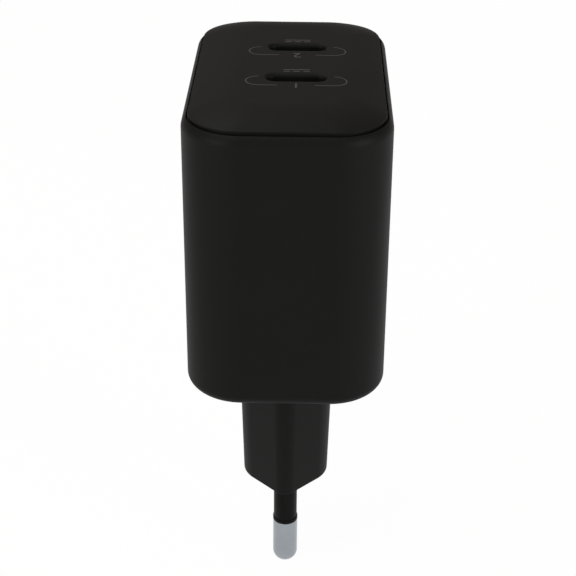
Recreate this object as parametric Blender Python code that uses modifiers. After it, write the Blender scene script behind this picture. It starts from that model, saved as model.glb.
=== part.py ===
"""Compact wall charger with two USB-C ports and a fixed two-pin plug.

Metres, +Z up. The origin is the middle of the plug's engagement face, the face that
lies on the wall socket. The pins point down, the ports look up, and the ports' long
side lies along X.
"""

import math

import bmesh
import bpy
from mathutils import Matrix, Vector

# Fits between pieces
SEAT = 0.0002
SLIP = 0.00015
BOARD_CLEAR = 0.0003
PART_GAP = 0.0006

# Tub
BODY_W = 0.0293
BODY_D = 0.0484
BODY_H = 0.0422
CORNER_R = 0.0083
RIM_R = 0.0014
RIM_ANGLE = math.radians(55.0)
FOOT_FILLET = 0.00175
WALL = 0.0018
FLOOR = 0.0020
LEDGE = 0.0006
RECESS_DEPTH = 0.0011

# Lid
GROOVE_W = 0.00038
GROOVE_D = 0.0007
COVER_PROUD = 0.00047
COVER_T = 0.0022
DOME_R = 0.0170
DOME_ANGLE = math.radians(23.8)
SKIRT_T = 0.0012
SKIRT_H = 0.0040
CLIP_W = 0.0050
CLIP_H = 0.0010
CLIP_REACH = 0.0005
CLIP_PITCH = 0.0200

# Port slots in the lid
PORT_W = 0.0089
PORT_H = 0.0031
PORT_LIP = 0.00035
PORT_PITCH = 0.0131
PORT_SHIFT_X = 0.00105
PORT_SHIFT_Y = 0.00045

# Plug body
PLUG_H = 0.0205
PLUG_HALF_W = 0.00663
PLUG_HALF_L = 0.01738
PLUG_SLANT = math.radians(45.0)
SHOULDER_R = 0.0052
NOSE_R = 0.00192
NOSE_FLAT = 0.00002
PLUG_DRAFT = 0.00055
PLUG_EDGE = 0.0002
PLUG_WALL = 0.0019
PLUG_SOLE = 0.0070
FLANGE_REACH = 0.0014
FLANGE_T = 0.0016
POST_SIDE = 0.0020
POST_H = 0.0016
POST_X = 0.0060
POST_Y = 0.0095

# Pins
PIN_PITCH = 0.0186
PIN_TIP_PITCH = 0.0175
PIN_LENGTH = 0.0191
PIN_R = 0.0020
PIN_END_R = 0.00194
CORE_R = 0.0014
SLEEVE_R = 0.00188
SLEEVE_LENGTH = 0.01092
SLEEVE_COLLAR = 0.00056
SLEEVE_ROOT = 0.0030
RIVET_R = 0.0022
RIVET_H = 0.0010

# Contact strips
STRIP_W = 0.0030
STRIP_T = 0.0005
STRIP_FOOT_L = 0.0060
STRIP_FOOT_W = 0.0050

# Boards
BOARD_T = 0.0012
MAIN_T = 0.0010
TAB_W = 0.0040
TAB_INSET = 0.0045

# Sockets
USB_W = 0.00894
USB_D = 0.00326
USB_H = 0.0109
USB_WALL = 0.0003
USB_MOUTH = 0.0062
USB_COVER_GAP = 0.0003
TONGUE_W = 0.00669
TONGUE_T = 0.0007
TONGUE_L = 0.00445

# Parts on the input board
HEAD_ROOM = 0.0027
FILTER_SHARE = 0.45
CAN_GROOVE = 0.0004
XCAP_H = 0.0105
FUSE_SIZE = (0.0084, 0.0036, 0.0076)
NTC_R = 0.0035
NTC_T = 0.0034
BRIDGE_SIZE = (0.0070, 0.0080, 0.0024)
BOX_EDGE = 0.0004
RING_SECTION_R = 0.0011
WIRE_R = 0.0003
WIRE_TURNS = 6
WINDING_SPAN = math.radians(138.0)

# Transformer
CORE_BACK = 0.0030
CORE_LEG_SHARE = 0.146
CORE_CENTRE_SHARE = 0.33
BOBBIN_WALL = 0.0007
BOBBIN_FLANGE = 0.0008
WINDING_R = 0.0012

# Parts on the upright board
SWITCH_T = 0.0009
SWITCH_W = 0.0060
RECTIFIER_T = 0.0010
RECTIFIER_W = 0.0050
YCAP_T = 0.0022
CONTROL_T = 0.0012
CONTROL_H = 0.0040
OPTO_T = 0.0022
OPTO_H = 0.0046

# Parts on the output board
OUTPUT_CAP_R = 0.00315
OUTPUT_CAP_H = 0.0076
INDUCTOR_SIZE = (0.0066, 0.0066, 0.0040)
INDUCTOR_EDGE = 0.0006
PROTOCOL_SIZE = (0.0040, 0.0040, 0.0009)
PROTOCOL_EDGE = 0.0001

# Cooling and insulation
SPREADER_T = 0.0005
SPREADER_TOP_W = 0.0080
PAD_T = 0.0012
SHEET_T = 0.0003

# How finely round forms are faceted
CORNER_STEPS = 10
FILLET_STEPS = 4
DOME_STEPS = 8
TURN_STEPS = 32
CAN_STEPS = 24
SPOOL_STEPS = 2
WINDING_STEPS = 4
LOOP_POINTS = 12
SMALLEST_R = 0.0002
CUT_MARGIN = 0.0010

# Heights that follow from the sizes above
BODY_Z = PLUG_H
RIM_Z = BODY_Z + BODY_H
FLOOR_Z = BODY_Z + FLOOR
LID_SEAT_Z = RIM_Z - RECESS_DEPTH
COVER_EDGE_Z = RIM_Z + COVER_PROUD
TOP_Z = COVER_EDGE_Z + DOME_R * (1 - math.cos(DOME_ANGLE))
COVER_UNDER_Z = TOP_Z - COVER_T
USB_TOP_Z = COVER_UNDER_Z - USB_COVER_GAP
USB_Z = USB_TOP_Z - USB_H
OUTPUT_TOP_Z = USB_Z - SEAT
OUTPUT_Z = OUTPUT_TOP_Z - BOARD_T
LEDGE_Z = OUTPUT_Z - SEAT
FLANGE_Z = FLOOR_Z + SEAT
FLANGE_TOP_Z = FLANGE_Z + FLANGE_T
INPUT_Z = FLANGE_TOP_Z + POST_H + SEAT
INPUT_TOP_Z = INPUT_Z + BOARD_T
PARTS_Z = INPUT_TOP_Z + SEAT
PARTS_H = OUTPUT_Z - HEAD_ROOM - PARTS_Z
MAIN_H = OUTPUT_Z - SEAT - PARTS_Z
OUTPUT_PARTS_Z = OUTPUT_TOP_Z + SEAT

# Walls of the lower hollow, and the columns and rows of parts between them
HOLLOW_X = BODY_W / 2 - WALL - LEDGE
HOLLOW_Y = BODY_D / 2 - WALL - LEDGE
HOLLOW_R = CORNER_R - WALL - LEDGE
MAIN_L = 2 * (HOLLOW_Y - HOLLOW_R)
SHEET_X = -HOLLOW_X + BOARD_CLEAR
MAIN_X = SHEET_X + SHEET_T + BOARD_CLEAR
MAIN_FACE_X = MAIN_X + MAIN_T
SPREADER_X = HOLLOW_X - BOARD_CLEAR - SPREADER_T
RIGHT_X = SPREADER_X - PART_GAP
LEFT_X = MAIN_FACE_X + PART_GAP
FRONT_Y = -HOLLOW_Y + 2 * PART_GAP
BACK_Y = HOLLOW_Y - PART_GAP
BULK_R = (RIGHT_X - LEFT_X - PART_GAP) / 4
ROWS_L = BACK_Y - FRONT_Y - 2 * BULK_R - FUSE_SIZE[1] - 3 * PART_GAP
FILTER_L = ROWS_L * FILTER_SHARE
TRAFO_L = ROWS_L - FILTER_L
STORE_Y = FRONT_Y + BULK_R
FILTER_Y = STORE_Y + BULK_R + PART_GAP + FILTER_L / 2
FUSE_Y = BACK_Y - FUSE_SIZE[1] / 2
TRAFO_Y = FUSE_Y - FUSE_SIZE[1] / 2 - PART_GAP - TRAFO_L / 2
COIL_REACH = RING_SECTION_R + SEAT + 2 * WIRE_R
RING_R = FILTER_L / 2 - COIL_REACH

FINISHES = {
    "black_plastic": ((0.018, 0.018, 0.017), 0.5, 0.0),
    "pin_plating": ((0.62, 0.63, 0.65), 0.28, 1.0),
    "sleeve_plastic": ((0.012, 0.012, 0.012), 0.45, 0.0),
    "brass": ((0.72, 0.55, 0.26), 0.35, 1.0),
    "board_laminate": ((0.02, 0.16, 0.07), 0.5, 0.0),
    "socket_steel": ((0.55, 0.56, 0.58), 0.3, 1.0),
    "socket_insert": ((0.02, 0.02, 0.022), 0.5, 0.0),
    "capacitor_film": ((0.05, 0.06, 0.12), 0.35, 0.0),
    "filter_box": ((0.75, 0.55, 0.08), 0.5, 0.0),
    "disc_coating": ((0.08, 0.22, 0.5), 0.45, 0.0),
    "ferrite": ((0.06, 0.06, 0.065), 0.6, 0.0),
    "copper_wire": ((0.62, 0.28, 0.12), 0.35, 1.0),
    "winding_tape": ((0.8, 0.62, 0.1), 0.45, 0.0),
    "chip_epoxy": ((0.025, 0.025, 0.027), 0.55, 0.0),
    "can_aluminium": ((0.7, 0.71, 0.72), 0.35, 1.0),
    "spreader_copper": ((0.68, 0.33, 0.16), 0.4, 1.0),
    "thermal_pad": ((0.45, 0.5, 0.56), 0.8, 0.0),
    "insulation_film": ((0.85, 0.83, 0.76), 0.4, 0.0),
}

for old in list(bpy.data.objects):
    bpy.data.objects.remove(old, do_unlink=True)

charger = bpy.data.collections.new("usb_wall_charger")
cutters = bpy.data.collections.new("cutters")
cutters.hide_render = True
for group in (charger, cutters):
    bpy.context.scene.collection.children.link(group)


def finish_of(name):
    """The Principled material of one finish, made on its first use."""
    if name in bpy.data.materials:
        return bpy.data.materials[name]
    colour, roughness, metallic = FINISHES[name]
    material = bpy.data.materials.new(name)
    material.use_nodes = True
    shader = material.node_tree.nodes["Principled BSDF"]
    shader.inputs["Base Color"].default_value = (*colour, 1.0)
    shader.inputs["Roughness"].default_value = roughness
    shader.inputs["Metallic"].default_value = metallic
    material.diffuse_color = (*colour, 1.0)
    return material


def add_object(name, data, finish=None):
    """Puts a mesh or curve in the scene: a piece where it has a finish, or else a cutter."""
    obj = bpy.data.objects.new(name, data)
    if finish is None:
        cutters.objects.link(obj)
        obj.hide_render = True
        obj.display_type = "WIRE"
    else:
        charger.objects.link(obj)
        data.materials.append(finish_of(finish))
    return obj


def mesh_object(name, bm, finish=None, matrix=None):
    """An object from a finished bmesh, smooth where its faces meet softly."""
    if matrix is not None:
        bm.transform(matrix)
    bmesh.ops.remove_doubles(bm, verts=bm.verts, dist=1e-7)
    bmesh.ops.recalc_face_normals(bm, faces=bm.faces)
    mesh = bpy.data.meshes.new(name)
    bm.to_mesh(mesh)
    bm.free()
    mesh.shade_smooth()
    mesh.set_sharp_from_angle(angle=math.radians(35))
    return add_object(name, mesh, finish)


def rounded_polygon(corners, radii, steps=CORNER_STEPS):
    """Points of a polygon whose corners are arcs of the given radii."""
    points = []
    count = len(corners)
    for i, (corner, radius) in enumerate(zip(corners, radii)):
        here = Vector(corner)
        back = (Vector(corners[i - 1]) - here).normalized()
        on = (Vector(corners[(i + 1) % count]) - here).normalized()
        half = back.angle(on) / 2
        centre = here + (back + on).normalized() * radius / math.sin(half)
        first = here + back * radius / math.tan(half) - centre
        last = here + on * radius / math.tan(half) - centre
        sweep = first.angle_signed(last)
        for k in range(steps + 1):
            turn = Matrix.Rotation(-sweep * k / steps, 2)
            points.append(centre + turn @ first)
    return points


def rounded_rectangle(half_x, half_y, radius, steps=CORNER_STEPS):
    corners = [(half_x, -half_y), (half_x, half_y), (-half_x, half_y), (-half_x, -half_y)]
    return rounded_polygon(corners, [max(radius, SMALLEST_R)] * 4, steps)


def body_outline(inset):
    """The tub's plan, drawn in by an inset."""
    return rounded_rectangle(BODY_W / 2 - inset, BODY_D / 2 - inset, CORNER_R - inset)


def plug_outline(grow):
    """The plug's six-sided plan with its two round noses, offset outwards by grow."""
    half_w = PLUG_HALF_W + grow
    half_l = PLUG_HALF_L + grow
    nose_r = max(NOSE_R + grow, SMALLEST_R)
    nose = NOSE_FLAT + nose_r * math.tan((math.pi / 2 - PLUG_SLANT) / 2)
    shoulder = half_l - (half_w - nose) / math.tan(PLUG_SLANT)
    quarter = [(half_w, shoulder), (nose, half_l)]
    left = [(-x, y) for x, y in reversed(quarter)]
    corners = quarter + left + [(-x, -y) for x, y in quarter + left]
    shoulder_r = max(SHOULDER_R + grow, SMALLEST_R)
    pair = [shoulder_r, nose_r]
    return rounded_polygon(corners, (pair + pair[::-1]) * 2, CORNER_STEPS // 2)


def lofted(name, sections, finish=None, ring=False, place=(0, 0, 0)):
    """Joins like outlines, each given with its height, into a solid or into a closed ring."""
    bm = bmesh.new()
    loops = [[bm.verts.new((x, y, z)) for x, y in outline] for outline, z in sections]
    following = loops[1:] + loops[:1] if ring else loops[1:]
    for lower, upper in zip(loops, following):
        for i in range(len(lower)):
            bm.faces.new((lower[i - 1], lower[i], upper[i], upper[i - 1]))
    if not ring:
        bm.faces.new(loops[0])
        bm.faces.new(loops[-1])
    return mesh_object(name, bm, finish, Matrix.Translation(place))


def slab(name, outline, thickness, finish, matrix=None):
    """A flat outline given a thickness upwards, then turned or moved into place."""
    bm = bmesh.new()
    face = bm.faces.new([bm.verts.new((x, y, 0)) for x, y in outline])
    raised = bmesh.ops.extrude_face_region(bm, geom=[face])["geom"]
    top = [v for v in raised if isinstance(v, bmesh.types.BMVert)]
    bmesh.ops.translate(bm, verts=top, vec=(0, 0, thickness))
    return mesh_object(name, bm, finish, matrix)


def block(name, size, base, finish=None, edge=0.0):
    """A box on the middle of its underside, with its edges broken where edge is given."""
    bm = bmesh.new()
    bmesh.ops.create_cube(bm, size=1.0)
    bmesh.ops.scale(bm, verts=bm.verts, vec=size)
    if edge:
        bmesh.ops.bevel(bm, geom=bm.edges[:], offset=edge, segments=1, affect="EDGES")
    middle = Vector(base) + Vector((0, 0, size[2] / 2))
    return mesh_object(name, bm, finish, Matrix.Translation(middle))


def turned(name, profile, finish=None, matrix=None, closed=False, steps=TURN_STEPS):
    """A profile of (radius, height) points, given from top to bottom, turned about its axis."""
    mesh = bpy.data.meshes.new(name)
    edges = [(i, i + 1) for i in range(len(profile) - 1)]
    if closed:
        edges.append((len(profile) - 1, 0))
    mesh.from_pydata([(r, 0, z) for r, z in profile], edges, [])
    obj = add_object(name, mesh, finish)
    screw = obj.modifiers.new("turn", "SCREW")
    screw.axis = "Z"
    screw.steps = steps
    screw.render_steps = steps
    screw.use_merge_vertices = True
    screw.merge_threshold = 1e-6
    screw.use_smooth_shade = True
    if matrix is not None:
        obj.matrix_world = matrix
    return obj


def combine(obj, other, operation="DIFFERENCE"):
    boolean = obj.modifiers.new(other.name, "BOOLEAN")
    boolean.operation = operation
    boolean.object = other
    boolean.solver = "EXACT"


def arc(count, first=0.0, last=math.pi / 2):
    return [first + (last - first) * k / count for k in range(count + 1)]


# Tub: outside from the foot to the rim, then down the inside to the floor
rim_in = RIM_R * (1 - math.cos(RIM_ANGLE))
tub_profile = [
    (FOOT_FILLET * (1 - math.sin(a)), BODY_Z + FOOT_FILLET * (1 - math.cos(a)))
    for a in arc(FILLET_STEPS)
]
tub_profile += [
    (RIM_R * (1 - math.cos(a)), RIM_Z - RIM_R * (math.sin(RIM_ANGLE) - math.sin(a)))
    for a in arc(FILLET_STEPS, 0.0, RIM_ANGLE)
]
tub_profile += [
    (rim_in, LID_SEAT_Z),
    (WALL, LID_SEAT_Z),
    (WALL, LEDGE_Z),
    (WALL + LEDGE, LEDGE_Z),
    (WALL + LEDGE, FLOOR_Z),
]
body_shell = lofted("body_shell", [(body_outline(i), z) for i, z in tub_profile], "black_plastic")

# Lid: pocket, skirt, seat, groove side and dome, as one sweep round the tub's plan
skirt_out = WALL + SLIP
skirt_in = skirt_out + SKIRT_T
seat_z = LID_SEAT_Z + SEAT
groove_z = RIM_Z - GROOVE_D
edge_in = rim_in + GROOVE_W
lid_profile = [
    (skirt_in, COVER_UNDER_Z),
    (skirt_in, seat_z - SKIRT_H),
    (skirt_out, seat_z - SKIRT_H),
    (skirt_out, seat_z),
    (rim_in + SLIP, seat_z),
    (rim_in + SLIP, groove_z),
    (edge_in, groove_z),
]
lid_profile += [
    (
        edge_in + DOME_R * (math.sin(DOME_ANGLE) - math.sin(a)),
        COVER_EDGE_Z + DOME_R * (math.cos(a) - math.cos(DOME_ANGLE)),
    )
    for a in arc(DOME_STEPS, DOME_ANGLE, 0.0)
]
top_cover = lofted("top_cover", [(body_outline(i), z) for i, z in lid_profile], "black_plastic")

# Clips on the lid's skirt, and the pockets in the tub that they snap into
clip_z = seat_z - SKIRT_H
for side in (-1, 1):
    for end in (-1, 1):
        clip_y = end * CLIP_PITCH / 2
        inner_x = BODY_W / 2 - skirt_out - SKIRT_T / 2
        outer_x = BODY_W / 2 - skirt_out + CLIP_REACH
        clip_size = (outer_x - inner_x, CLIP_W, CLIP_H)
        clip_base = (side * (inner_x + outer_x) / 2, clip_y, clip_z)
        clip = block(f"clip_{side}_{end}", clip_size, clip_base)
        combine(top_cover, clip, "UNION")
        pocket_size = (clip_size[0] + 2 * SLIP, CLIP_W + 2 * SLIP, CLIP_H + 2 * SLIP)
        pocket_base = (clip_base[0], clip_y, clip_z - SLIP)
        combine(body_shell, block(f"clip_pocket_{side}_{end}", pocket_size, pocket_base))

# Port slots with rounded lips
port_y = [PORT_SHIFT_Y + sign * PORT_PITCH / 2 for sign in (-1, 1)]
slot_profile = [(0.0, COVER_UNDER_Z - CUT_MARGIN)]
slot_profile += [
    (PORT_LIP * (1 - math.cos(a)), TOP_Z - PORT_LIP * (1 - math.sin(a)))
    for a in arc(FILLET_STEPS)
]
slot_profile.append((PORT_LIP, TOP_Z + CUT_MARGIN))


def pill(width, height, steps=CORNER_STEPS // 2):
    """A slot's outline with full round ends."""
    return rounded_rectangle(width / 2, height / 2, height / 2, steps)


for number, y in enumerate(port_y, 1):
    slot_sections = [(pill(PORT_W + 2 * grow, PORT_H + 2 * grow), z) for grow, z in slot_profile]
    slot = lofted(f"port_slot_{number}", slot_sections, place=(PORT_SHIFT_X, y, 0))
    combine(top_cover, slot)

# Plug body: drafted outside, flange on the tub's floor, hollow down to the thick sole
hollow_draft = PLUG_DRAFT * PLUG_SOLE / PLUG_H
plug_profile = [
    (-PLUG_EDGE, 0.0),
    (0.0, PLUG_EDGE),
    (PLUG_DRAFT, BODY_Z),
    (PLUG_DRAFT, FLANGE_Z),
    (PLUG_DRAFT + FLANGE_REACH, FLANGE_Z),
    (PLUG_DRAFT + FLANGE_REACH, FLANGE_TOP_Z),
    (PLUG_DRAFT - PLUG_WALL, FLANGE_TOP_Z),
    (hollow_draft - PLUG_WALL, PLUG_SOLE),
]
plug_base = lofted("plug_base", [(plug_outline(g), z) for g, z in plug_profile], "black_plastic")
floor_hole = lofted(
    "floor_hole",
    [(plug_outline(PLUG_DRAFT + SLIP), z) for z in (BODY_Z - CUT_MARGIN, FLOOR_Z + CUT_MARGIN)],
)
combine(body_shell, floor_hole)
for side in (-1, 1):
    for end in (-1, 1):
        post_size = (POST_SIDE, POST_SIDE, FLANGE_T / 2 + POST_H)
        post_base = (side * POST_X, end * POST_Y, FLANGE_TOP_Z - FLANGE_T / 2)
        combine(plug_base, block(f"post_{side}_{end}", post_size, post_base), "UNION")

# Pins, sleeves and contact strips, front and rear alike
pin_lean = math.atan2((PIN_PITCH - PIN_TIP_PITCH) / 2, PIN_LENGTH)
strip_z = PLUG_SOLE + SEAT
rivet_z = strip_z + STRIP_T + SEAT
pin_profile = [
    (0.0, rivet_z + RIVET_H),
    (RIVET_R, rivet_z + RIVET_H),
    (RIVET_R, rivet_z),
    (CORE_R, rivet_z),
    (CORE_R, -SLEEVE_LENGTH),
    (PIN_R, -SLEEVE_LENGTH),
]
pin_profile += [
    (PIN_R - PIN_END_R * (1 - math.cos(a)), -PIN_LENGTH + PIN_END_R * (1 - math.sin(a)))
    for a in arc(2 * FILLET_STEPS)
]
pin_profile.append((0.0, -PIN_LENGTH))
sleeve_profile = [
    (SLEEVE_R, SLEEVE_ROOT),
    (SLEEVE_R, SEAT - SLEEVE_LENGTH + SLEEVE_COLLAR),
    (PIN_R, SEAT - SLEEVE_LENGTH + SLEEVE_COLLAR),
    (PIN_R, SEAT - SLEEVE_LENGTH),
    (CORE_R + SLIP, SEAT - SLEEVE_LENGTH),
    (CORE_R + SLIP, SLEEVE_ROOT),
]
bore_profile = [
    (0.0, PLUG_SOLE + CUT_MARGIN),
    (CORE_R + SLIP, PLUG_SOLE + CUT_MARGIN),
    (CORE_R + SLIP, SLEEVE_ROOT + SLIP),
    (SLEEVE_R + SLIP, SLEEVE_ROOT + SLIP),
    (SLEEVE_R + SLIP, -CUT_MARGIN),
    (0.0, -CUT_MARGIN),
]
strip_slots = []
for end, word in ((-1, "front"), (1, "rear")):
    lean = Matrix.Rotation(-end * pin_lean, 4, "X")
    pin_place = Matrix.Translation((0, end * PIN_PITCH / 2, 0)) @ lean
    turned(f"pin_{word}", pin_profile, "pin_plating", pin_place)
    turned(f"pin_sleeve_{word}", sleeve_profile, "sleeve_plastic", pin_place, closed=True)
    combine(plug_base, turned(f"pin_bore_{word}", bore_profile, None, pin_place))
    pin_y = end * (PIN_PITCH / 2 + PLUG_SOLE * math.tan(pin_lean))
    leg_y = pin_y - end * (STRIP_FOOT_L - STRIP_T) / 2
    foot_size = (STRIP_FOOT_W, STRIP_FOOT_L, STRIP_T)
    strip = block(f"contact_strip_{word}", foot_size, (0, pin_y, strip_z), "brass")
    leg_size = (STRIP_W, STRIP_T, INPUT_TOP_Z - strip_z)
    combine(strip, block(f"strip_leg_{word}", leg_size, (0, leg_y, strip_z)), "UNION")
    eye_profile = [
        (0.0, rivet_z),
        (CORE_R + 2 * SLIP, rivet_z),
        (CORE_R + 2 * SLIP, strip_z - SEAT),
        (0.0, strip_z - SEAT),
    ]
    eye_place = Matrix.Translation((0, pin_y, 0))
    combine(strip, turned(f"strip_eye_{word}", eye_profile, None, eye_place))
    slot_size = (STRIP_W + 2 * BOARD_CLEAR, STRIP_T + 2 * BOARD_CLEAR, BOARD_T + 2 * CUT_MARGIN)
    strip_slots.append(block(f"strip_slot_{word}", slot_size, (0, leg_y, INPUT_Z - CUT_MARGIN)))

# Boards: the input and output boards lie flat, and the main board stands between them in slots
input_outline = body_outline(WALL + LEDGE + BOARD_CLEAR)
input_place = Matrix.Translation((0, 0, INPUT_Z))
input_board = slab("input_board", input_outline, BOARD_T, "board_laminate", input_place)
output_outline = body_outline(WALL + BOARD_CLEAR)
output_place = Matrix.Translation((0, 0, OUTPUT_Z))
output_board = slab("output_board", output_outline, BOARD_T, "board_laminate", output_place)
for strip_slot in strip_slots:
    combine(input_board, strip_slot)
main_size = (MAIN_T, MAIN_L, MAIN_H)
main_mid_x = MAIN_X + MAIN_T / 2
main_board = block("main_board", main_size, (main_mid_x, 0, PARTS_Z), "board_laminate")
for end in (-1, 1):
    tab_y = end * (MAIN_L / 2 - TAB_INSET)
    tab_size = (MAIN_T, TAB_W, OUTPUT_TOP_Z - INPUT_Z)
    combine(main_board, block(f"tab_{end}", tab_size, (main_mid_x, tab_y, INPUT_Z)), "UNION")
    tab_slot_size = (MAIN_T + 2 * SLIP, TAB_W + 2 * SLIP, BOARD_T + 2 * CUT_MARGIN)
    for board, board_z in ((input_board, INPUT_Z), (output_board, OUTPUT_Z)):
        tab_slot_base = (main_mid_x, tab_y, board_z - CUT_MARGIN)
        combine(board, block(f"{board.name}_slot_{end}", tab_slot_size, tab_slot_base))

# Sockets: a folded steel shell round a moulded insert with its tongue
for number, y in enumerate(port_y, 1):
    inner_w = USB_W - 2 * USB_WALL
    inner_d = USB_D - 2 * USB_WALL
    shell_sections = [
        (pill(USB_W, USB_D), USB_Z),
        (pill(USB_W, USB_D), USB_TOP_Z),
        (pill(inner_w, inner_d), USB_TOP_Z),
        (pill(inner_w, inner_d), USB_Z),
    ]
    place = (PORT_SHIFT_X, y, 0)
    lofted(f"usb_c_shell_{number}", shell_sections, "socket_steel", ring=True, place=place)
    insert_top_z = USB_TOP_Z - USB_MOUTH
    insert_outline = pill(inner_w - 2 * SLIP, inner_d - 2 * SLIP)
    insert_sections = [(insert_outline, USB_Z), (insert_outline, insert_top_z)]
    insert = lofted(f"usb_c_insert_{number}", insert_sections, "socket_insert", place=place)
    tongue_size = (TONGUE_W, TONGUE_T, TONGUE_L + CUT_MARGIN)
    tongue_base = (PORT_SHIFT_X, y, insert_top_z - CUT_MARGIN)
    tongue = block(f"tongue_{number}", tongue_size, tongue_base, edge=TONGUE_T / 4)
    combine(insert, tongue, "UNION")


def can(name, radius, height, base, finish):
    """An upright capacitor can with a rolled top edge and a crimp groove near its foot."""
    edge = radius / 8
    groove = height / 8
    profile = [
        (0.0, height),
        (radius - 2 * edge, height),
        (radius - edge / 2, height - edge / 2),
        (radius, height - 2 * edge),
        (radius, groove + edge),
        (radius - CAN_GROOVE, groove),
        (radius, groove - edge),
        (radius, edge / 2),
        (radius - edge / 2, 0.0),
        (0.0, 0.0),
    ]
    return turned(name, profile, finish, Matrix.Translation(base), steps=CAN_STEPS)


def disc(name, radius, thickness, matrix, finish):
    """A coated disc with soft edges, standing on its rim."""
    edge = thickness / 4
    profile = [(0.0, thickness), (radius - edge, thickness), (radius, thickness - edge)]
    profile += [(radius, edge), (radius - edge, 0.0), (0.0, 0.0)]
    return turned(name, profile, finish, matrix, steps=CAN_STEPS)


# Input filter and store, in rows from the front wall to the back wall
bulk_right_x = RIGHT_X - BULK_R
bulk_left_x = LEFT_X + BULK_R
can("bulk_capacitor_1", BULK_R, PARTS_H, (bulk_left_x, STORE_Y, PARTS_Z), "capacitor_film")
can("bulk_capacitor_2", BULK_R, PARTS_H, (bulk_right_x, STORE_Y, PARTS_Z), "capacitor_film")
can("bulk_capacitor_3", BULK_R, PARTS_H, (bulk_right_x, FILTER_Y, PARTS_Z), "capacitor_film")
choke_middle = Vector((LEFT_X + COIL_REACH, FILTER_Y, PARTS_Z + FILTER_L / 2))
choke_place = Matrix.Translation(choke_middle) @ Matrix.Rotation(math.pi / 2, 4, "Y")
ring_profile = [
    (RING_R + RING_SECTION_R * math.cos(a), RING_SECTION_R * math.sin(a))
    for a in arc(LOOP_POINTS, math.pi / 2, -3 * math.pi / 2)[:-1]
]
turned("choke_core", ring_profile, "ferrite", choke_place, closed=True)


def ring_winding(name, middle):
    """One unbroken wire wound on half of the ring core, whose turns follow the core's section."""
    loop_r = RING_SECTION_R + SEAT + WIRE_R
    count = WIRE_TURNS * LOOP_POINTS
    path = []
    for k in range(count + 1):
        along = middle + WINDING_SPAN * (k / count - 0.5)
        about = 2 * math.pi * WIRE_TURNS * k / count
        reach = RING_R + loop_r * math.cos(about)
        across = loop_r * math.sin(about)
        path.append(Vector((reach * math.cos(along), reach * math.sin(along), across)))
    nearest = min(
        (path[i] - path[j]).length
        for i in range(count + 1)
        for j in range(i + LOOP_POINTS // 2, count + 1)
    )
    print(f"{name}: least gap between turns {(nearest - 2 * WIRE_R) * 1000:.2f} mm")
    curve = bpy.data.curves.new(name, "CURVE")
    curve.dimensions = "3D"
    curve.bevel_depth = WIRE_R
    curve.bevel_resolution = 1
    curve.use_fill_caps = True
    spline = curve.splines.new("POLY")
    spline.points.add(count)
    for point, place in zip(spline.points, path):
        point.co = (*place, 1.0)
    wire = add_object(name, curve, "copper_wire")
    wire.matrix_world = choke_place


ring_winding("choke_winding_1", math.pi / 2)
ring_winding("choke_winding_2", -math.pi / 2)
xcap_left_x = LEFT_X + 2 * COIL_REACH + PART_GAP
xcap_right_x = bulk_right_x - BULK_R - PART_GAP
xcap_size = (xcap_right_x - xcap_left_x, FILTER_L - PART_GAP, XCAP_H)
xcap_base = ((xcap_left_x + xcap_right_x) / 2, FILTER_Y, PARTS_Z)
block("x_capacitor", xcap_size, xcap_base, "filter_box", BOX_EDGE)
block("fuse", FUSE_SIZE, (-FUSE_SIZE[0] / 2, FUSE_Y, PARTS_Z), "chip_epoxy", BOX_EDGE)
ntc_middle = Vector((PART_GAP + NTC_R, FUSE_Y + NTC_T / 2, PARTS_Z + NTC_R))
ntc_place = Matrix.Translation(ntc_middle) @ Matrix.Rotation(math.pi / 2, 4, "X")
disc("thermistor", NTC_R, NTC_T, ntc_place, "disc_coating")
bridge_z = INPUT_Z - SEAT - BRIDGE_SIZE[2]
block("bridge_rectifier", BRIDGE_SIZE, (0, 0, bridge_z), "chip_epoxy", BOX_EDGE)

# Transformer: two E-shaped ferrite halves round a bobbin, with its taped winding
core_right_x = SPREADER_X - PAD_T - 2 * SEAT
core_left_x = MAIN_FACE_X + SEAT + YCAP_T + PART_GAP
core_w = core_right_x - core_left_x
core_h = (PARTS_H - SEAT) / 2
trafo_x = (core_left_x + core_right_x) / 2
half_w = core_w / 2
half_c = half_w * CORE_CENTRE_SHARE
leg_x = half_w - core_w * CORE_LEG_SHARE
bore_x = half_c + SLIP
tube_x = bore_x + BOBBIN_WALL
spool_x = leg_x - SLIP
spool_y = TRAFO_L / 2
tube_y = spool_y - (spool_x - tube_x)
bore_y = tube_y - BOBBIN_WALL
core_d = 2 * (bore_y - SLIP)
e_half = [
    (half_w, 0.0),
    (half_w, core_h),
    (leg_x, core_h),
    (leg_x, CORE_BACK),
    (half_c, CORE_BACK),
    (half_c, core_h),
]
e_outline = e_half + [(-x, z) for x, z in reversed(e_half)]
upright = Matrix.Rotation(math.pi / 2, 4, "X")
head_down = Matrix.Rotation(math.pi, 4, "X")
lower_place = Matrix.Translation((trafo_x, TRAFO_Y + core_d / 2, PARTS_Z)) @ upright
slab("transformer_core_lower", e_outline, core_d, "ferrite", lower_place)
upper_base = (trafo_x, TRAFO_Y - core_d / 2, PARTS_Z + PARTS_H)
upper_place = Matrix.Translation(upper_base) @ head_down @ upright
slab("transformer_core_upper", e_outline, core_d, "ferrite", upper_place)
window_h = PARTS_H - 2 * (CORE_BACK + SEAT)
spool_profile = [
    (bore_x, bore_y, 0.0),
    (spool_x, spool_y, 0.0),
    (spool_x, spool_y, BOBBIN_FLANGE),
    (tube_x, tube_y, BOBBIN_FLANGE),
    (tube_x, tube_y, window_h - BOBBIN_FLANGE),
    (spool_x, spool_y, window_h - BOBBIN_FLANGE),
    (spool_x, spool_y, window_h),
    (bore_x, bore_y, window_h),
]
trafo_place = (trafo_x, TRAFO_Y, PARTS_Z + CORE_BACK + SEAT)
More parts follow.
